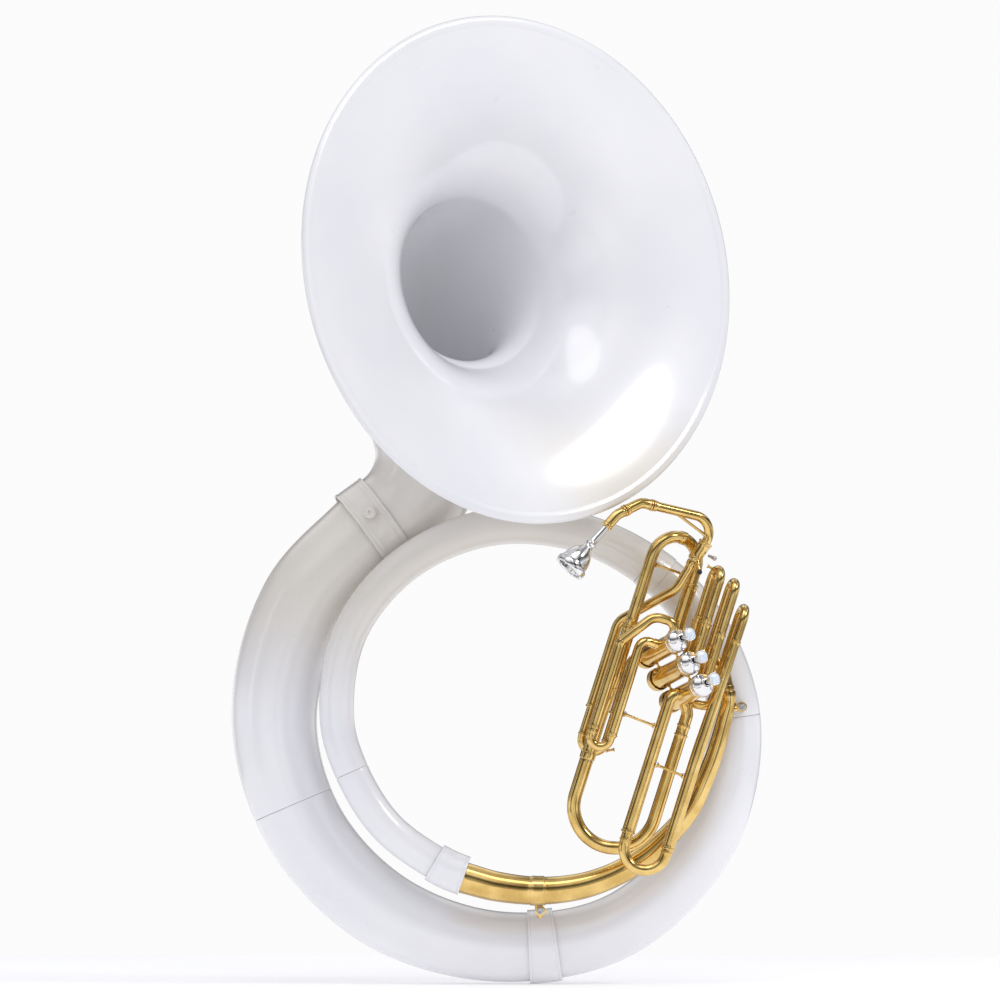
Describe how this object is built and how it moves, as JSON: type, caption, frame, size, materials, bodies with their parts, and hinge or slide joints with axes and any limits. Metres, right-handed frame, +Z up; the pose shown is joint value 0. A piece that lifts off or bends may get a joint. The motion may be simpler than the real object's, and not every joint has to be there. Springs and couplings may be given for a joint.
{
  "type": "sousaphone",
  "caption": "Marching sousaphone: white moulded wrap and wide bell, lacquered brass valve section with finger buttons and tuning slides, silver mouthpiece.",
  "frame": {"origin": "the point under the top of the wrap that rests on the player's shoulder", "axes": "+Z up, -Y the way the wrap's front faces and the bell roughly looks, +X the side that holds the valves"},
  "size_m": [0.6791, 0.4628, 1.2381],
  "materials": {
    "white_shell": "gloss",
    "lacquered_brass": "polished and lacquered",
    "silver_plate": "polished",
    "plain_steel": "satin"
  },
  "bodies": {
    "frame": {"inner_left_section": "white_shell", "shoulder_section": "white_shell", "upper_right_section": "white_shell", "lower_right_section": "white_shell", "lower_left_section": "white_shell", "upper_left_section": "white_shell", "bottom_sleeve": "white_shell", "inner_tube_ferrule": "white_shell", "bell_collar": "white_shell", "top_cap_1": "silver_plate", "top_cap_2": "silver_plate", "top_cap_3": "silver_plate", "piston_spring_1": "plain_steel", "piston_spring_2": "plain_steel", "piston_spring_3": "plain_steel", "bottom_bracket_screw": "plain_steel", "side_bracket_screw": "plain_steel", "valve_casing_1": "lacquered_brass", "valve_casing_2": "lacquered_brass", "valve_casing_3": "lacquered_brass", "bottom_cap_1": "lacquered_brass", "bottom_cap_2": "lacquered_brass", "bottom_cap_3": "lacquered_brass", "neck_receiver": "lacquered_brass", "leadpipe": "lacquered_brass", "lead_return": "lacquered_brass", "tuning_sleeve": "lacquered_brass", "lower_bow": "lacquered_brass", "return_tube": "lacquered_brass", "brass_branch": "lacquered_brass", "first_sleeve_left": "lacquered_brass", "first_sleeve_right": "lacquered_brass", "second_sleeve_front": "lacquered_brass", "second_sleeve_back": "lacquered_brass", "crossover_loop": "lacquered_brass", "third_sleeve_left": "lacquered_brass", "third_sleeve_right": "lacquered_brass", "first_cross_brace": "lacquered_brass", "third_cross_brace": "lacquered_brass", "bottom_bracket": "lacquered_brass", "side_bracket": "lacquered_brass"},
    "bell_body": {"bell": "white_shell"},
    "bell_screw_body": {"bell_screw": "white_shell"},
    "valve_1": {"piston_1": "plain_steel", "finger_button_1": "silver_plate"},
    "valve_2": {"piston_2": "plain_steel", "finger_button_2": "silver_plate"},
    "valve_3": {"piston_3": "plain_steel", "finger_button_3": "silver_plate"},
    "tuning_slide_body": {"tuning_slide": "lacquered_brass", "tuning_slide_brace": "lacquered_brass"},
    "lead_slide_body": {"lead_slide": "lacquered_brass"},
    "first_slide_body": {"first_slide": "lacquered_brass"},
    "second_slide_body": {"second_slide": "lacquered_brass"},
    "third_slide_body": {"third_slide": "lacquered_brass"},
    "neck_body": {"neck": "lacquered_brass"},
    "bit_2_body": {"tuning_bit_2": "lacquered_brass"},
    "bit_1_body": {"tuning_bit_1": "lacquered_brass"},
    "mouthpiece_body": {"mouthpiece": "silver_plate"},
    "neck_screw_body": {"neck_screw": "plain_steel"}
  },
  "joints": [
    {"name": "valve_1_press", "type": "slide", "parent": "frame", "child": "valve_1", "axis": [-0.4557, 0.8545, -0.2495], "range_m": [0, 0.017], "stiffness_N_per_m": 160, "springref_m": -0.012},
    {"name": "valve_2_press", "type": "slide", "parent": "frame", "child": "valve_2", "axis": [-0.4557, 0.8545, -0.2495], "range_m": [0, 0.017], "stiffness_N_per_m": 160, "springref_m": -0.012},
    {"name": "valve_3_press", "type": "slide", "parent": "frame", "child": "valve_3", "axis": [-0.4557, 0.8545, -0.2495], "range_m": [0, 0.017], "stiffness_N_per_m": 160, "springref_m": -0.012},
    {"name": "tuning_slide_pull", "type": "slide", "parent": "frame", "child": "tuning_slide_body", "axis": [0.3007, 0, 0.9537], "range_m": [0, 0.035]},
    {"name": "second_slide_pull", "type": "slide", "parent": "frame", "child": "second_slide_body", "axis": [0.3007, 0, 0.9537], "range_m": [0, 0.018]},
    {"name": "lead_slide_pull", "type": "slide", "parent": "frame", "child": "lead_slide_body", "axis": [-0.3007, 0, -0.9537], "range_m": [0, 0.03]},
    {"name": "first_slide_pull", "type": "slide", "parent": "frame", "child": "first_slide_body", "axis": [-0.3007, 0, -0.9537], "range_m": [0, 0.035]},
    {"name": "third_slide_pull", "type": "slide", "parent": "frame", "child": "third_slide_body", "axis": [-0.3007, 0, -0.9537], "range_m": [0, 0.065]},
    {"name": "neck_turn", "type": "hinge", "parent": "frame", "child": "neck_body", "pos_m": [0.24081, -0.058, 0.00291], "axis": [0.5604, -0.0348, 0.8275], "range_deg": [0, 18]},
    {"name": "bit_2_turn", "type": "hinge", "parent": "neck_body", "child": "bit_2_body", "pos_m": [0.17265, -0.087, 0.04977], "axis": [0.9285, 0.3004, -0.2182], "range_deg": [-20, 15]},
    {"name": "bit_1_turn", "type": "hinge", "parent": "bit_2_body", "child": "bit_1_body", "pos_m": [0.1377, -0.10174, 0.04329], "axis": [0.8214, 0.4046, 0.402], "range_deg": [-20, 20]},
    {"name": "mouthpiece_pull", "type": "slide", "parent": "bit_1_body", "child": "mouthpiece_body", "axis": [-0.6514, -0.224, -0.7249], "range_m": [0, 0.012]},
    {"name": "neck_screw_turn", "type": "hinge", "parent": "frame", "child": "neck_screw_body", "pos_m": [0.24359, -0.059, -0.01422], "axis": [0.8617, -0.3101, -0.4017], "continuous": true},
    {"name": "bell_turn", "type": "hinge", "parent": "frame", "child": "bell_body", "pos_m": [-0.18385, 0.065, 0.01482], "axis": [0.808, 0.0707, 0.585], "range_deg": [-9, 6]},
    {"name": "bell_screw_turn", "type": "hinge", "parent": "frame", "child": "bell_screw_body", "pos_m": [-0.18758, 0.0012, 0.03794], "axis": [-0.1267, -0.9487, 0.2898], "continuous": true}
  ]
}
